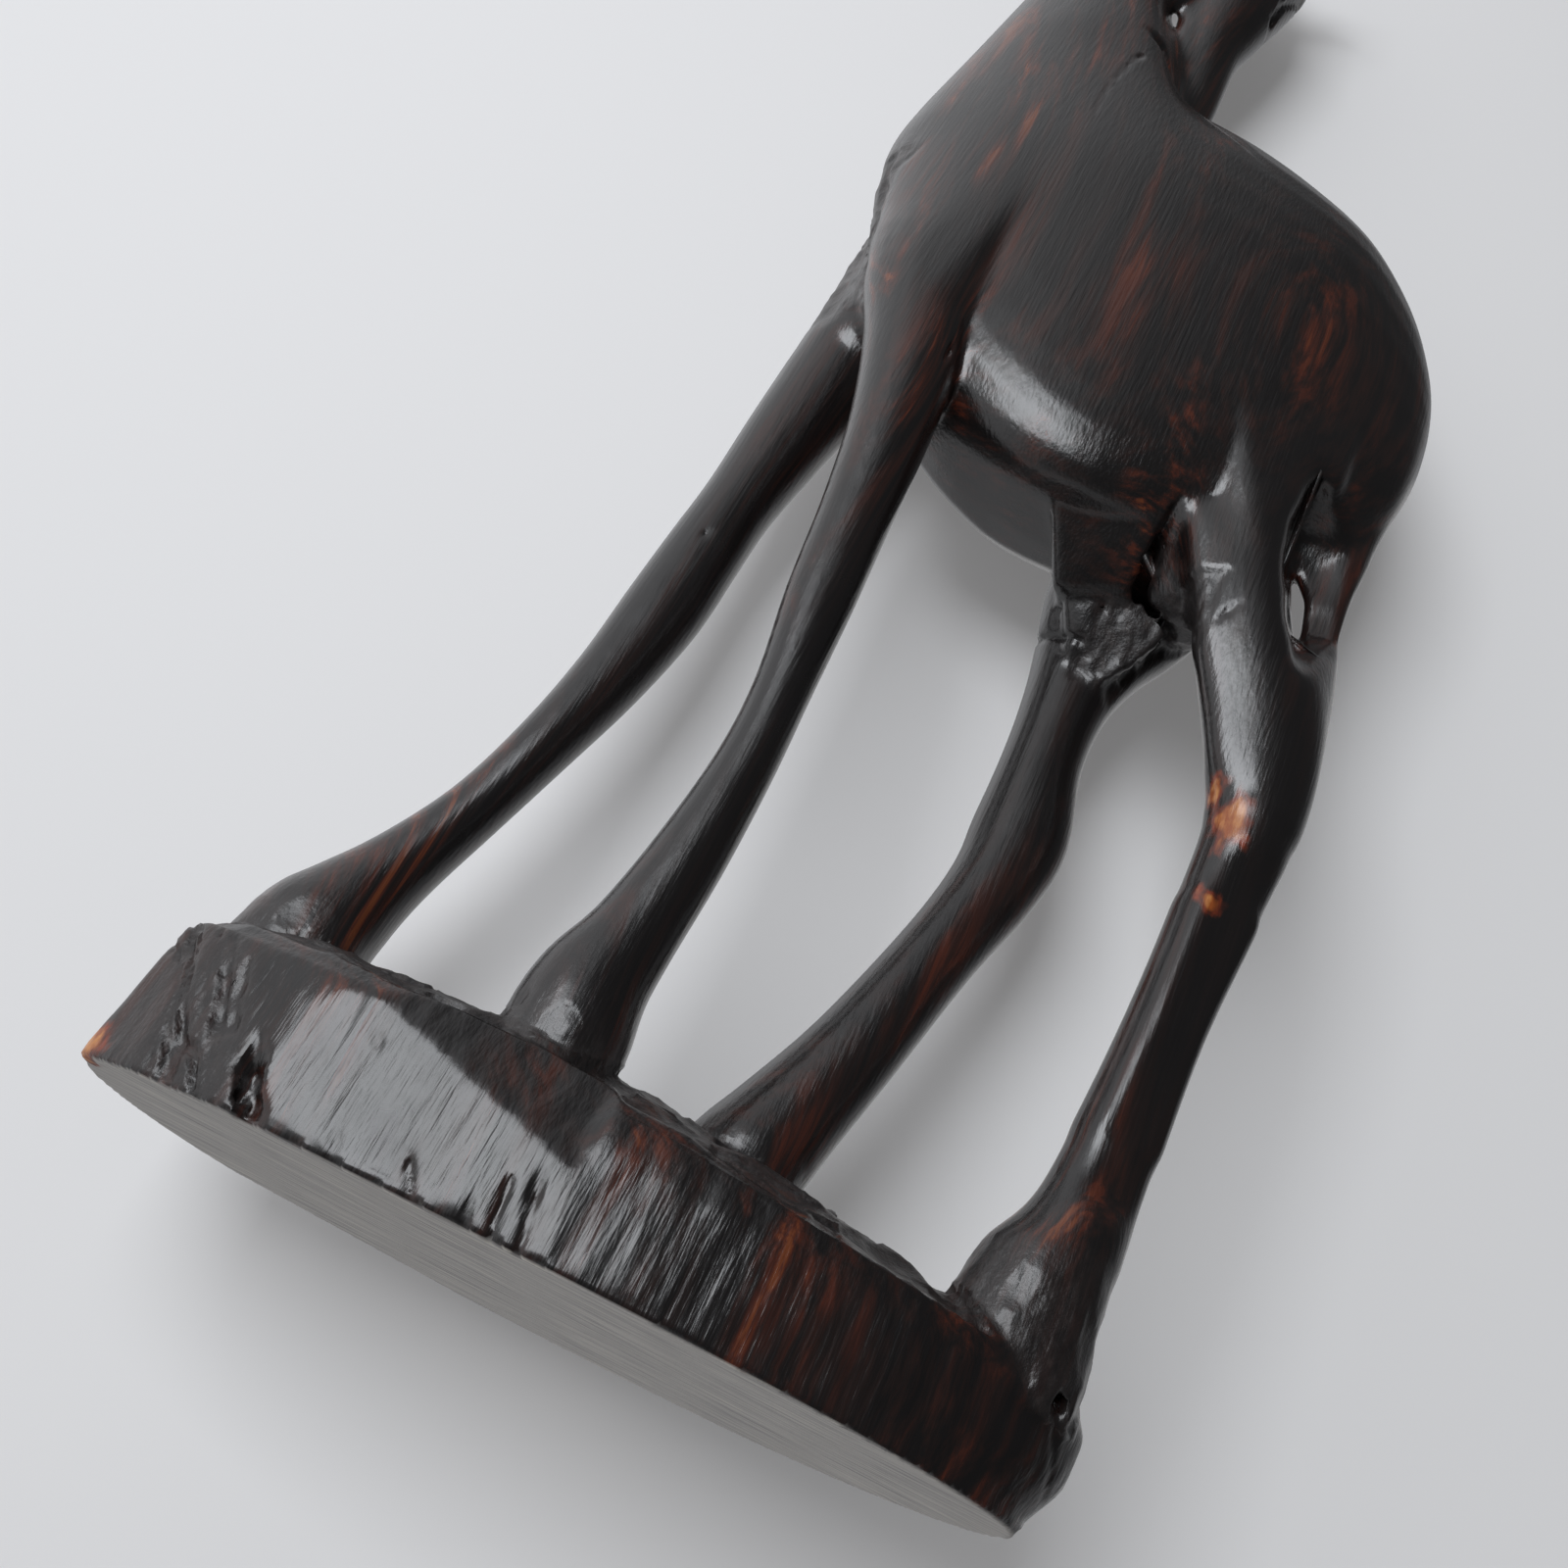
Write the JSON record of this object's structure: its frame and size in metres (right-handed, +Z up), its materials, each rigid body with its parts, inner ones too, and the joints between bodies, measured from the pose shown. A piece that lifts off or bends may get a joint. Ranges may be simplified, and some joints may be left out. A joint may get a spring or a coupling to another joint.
{
  "type": "carved wooden giraffe statue",
  "caption": "Free-standing carved dark hardwood giraffe on a rough-hewn oval base, neck arched back so that the head hangs down to the withers",
  "frame": {"origin": "middle of the flat underside of the base", "axes": "+Z up; the giraffe faces -X, its tail is towards +X and its left flank faces -Y"},
  "size_m": [0.1535, 0.0632, 0.3973],
  "materials": {
    "polished_wood": "hand-rubbed wax polish over near-black brown wood with red-brown streaks",
    "hewn_wood": "chiselled and rasped, stained dark, worn lighter on the edges and facets"
  },
  "bodies": {
    "root": {"base": "hewn_wood", "torso": "polished_wood", "neck": "polished_wood", "head": "polished_wood", "left_front_leg": "polished_wood", "right_front_leg": "polished_wood", "left_hind_leg": "polished_wood", "right_hind_leg": "polished_wood", "hind_web": "hewn_wood", "tail": "polished_wood", "left_ear": "polished_wood", "right_ear": "polished_wood", "left_horn": "polished_wood", "right_horn": "polished_wood"}
  },
  "joints": []
}
